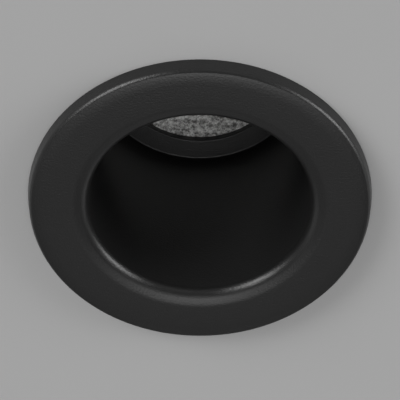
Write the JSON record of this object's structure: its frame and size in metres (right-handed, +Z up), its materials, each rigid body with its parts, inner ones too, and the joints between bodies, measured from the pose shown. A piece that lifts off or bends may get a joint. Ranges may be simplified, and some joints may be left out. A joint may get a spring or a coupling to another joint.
{
  "type": "recessed soffit downlight",
  "caption": "Fixed recessed downlight for a soffit: deep matt black bezel with a bayonet fixing, pebbled lens, steel can, sprung clips, twist-lock lamp and terminal box.",
  "frame": {"origin": "on the lamp axis, in the plane of the soffit that the rim gasket seats on", "axes": "+Z up into the soffit void along the lamp axis, light leaves towards -Z; +X towards the right-hand clip and the cable gland; +Y away from the camera"},
  "size_m": [0.1482, 0.085, 0.1503],
  "materials": {
    "matt_black_paint": "fine matt black powder coat",
    "galvanised_steel": "bright galvanised sheet",
    "spring_steel": "plain drawn wire",
    "zinc_fastener": "bright zinc",
    "pebbled_glass": "toughened glass, pebbled front",
    "foam_gasket": "closed-cell foam",
    "silicone": "translucent silicone",
    "black_rubber": "moulded rubber",
    "steatite": "unglazed steatite",
    "lamp_white": "moulded white",
    "lamp_diffuser": "opal",
    "lamp_board": "white circuit board",
    "plated_brass": "nickel-plated",
    "brass": "plain",
    "grey_plastic": "moulded light grey",
    "white_plastic": "moulded natural white",
    "black_plastic": "moulded black nylon",
    "brown_sleeve": "silicone sleeve",
    "blue_sleeve": "silicone sleeve",
    "green_sleeve": "insulation"
  },
  "bodies": {
    "can_assembly": {"can": "galvanised_steel", "can_cap": "galvanised_steel", "soffit_gasket": "foam_gasket", "cap_rivets": "zinc_fastener", "bracket_rivets": "zinc_fastener", "clip_bracket_left": "galvanised_steel", "clip_bracket_right": "galvanised_steel", "clip_pin_left": "zinc_fastener", "clip_pin_right": "zinc_fastener", "clip_spring_left": "spring_steel", "clip_spring_right": "spring_steel", "lampholder": "steatite", "holder_contacts": "brass", "holder_screws": "zinc_fastener", "lead_grommet": "black_rubber", "live_lead": "brown_sleeve", "neutral_lead": "blue_sleeve", "earth_lead": "green_sleeve", "earth_tag": "plated_brass", "earth_screw": "zinc_fastener", "terminal_box": "grey_plastic", "box_lid": "grey_plastic", "lid_screw": "zinc_fastener", "terminal_block": "white_plastic", "terminal_tubes": "brass", "terminal_screws": "zinc_fastener", "gland_body": "black_plastic", "gland_nut": "black_plastic", "gland_seal": "black_rubber", "gland_cap": "black_plastic"},
    "bezel_assembly": {"bezel": "matt_black_paint", "lens": "pebbled_glass", "lens_gasket": "silicone", "lens_clamp": "galvanised_steel", "lens_clamp_screws": "zinc_fastener", "bezel_seal": "silicone"},
    "lamp": {"lamp_shell": "lamp_white", "lamp_lens": "lamp_diffuser", "lamp_board": "lamp_board", "lamp_pins": "plated_brass", "lamp_base": "lamp_white"},
    "clip_right": {"clip_arm_right": "galvanised_steel", "arm_pad_right": "black_rubber"},
    "clip_left": {"clip_arm_left": "galvanised_steel", "arm_pad_left": "black_rubber"}
  },
  "joints": [
    {"name": "bezel_twist", "type": "hinge", "parent": "can_assembly", "child": "bezel_assembly", "pos_m": [0, 0, 0], "axis": [0, 0, -1], "range_deg": [0, 24]},
    {"name": "lamp_twist", "type": "hinge", "parent": "can_assembly", "child": "lamp", "pos_m": [0, 0, 0.106], "axis": [0, 0, -1], "range_deg": [0, 25]},
    {"name": "clip_right_hinge", "type": "hinge", "parent": "can_assembly", "child": "clip_right", "pos_m": [0.034, 0, 0.026], "axis": [0, -1, 0], "range_deg": [0, 110], "stiffness_Nm_per_rad": 0.12, "springref_deg": -45.84, "deforming": ["clip_spring_right"]},
    {"name": "clip_left_hinge", "type": "hinge", "parent": "can_assembly", "child": "clip_left", "pos_m": [-0.034, 0, 0.026], "axis": [0, 1, 0], "range_deg": [0, 110], "stiffness_Nm_per_rad": 0.12, "springref_deg": -45.84, "deforming": ["clip_spring_left"]}
  ]
}
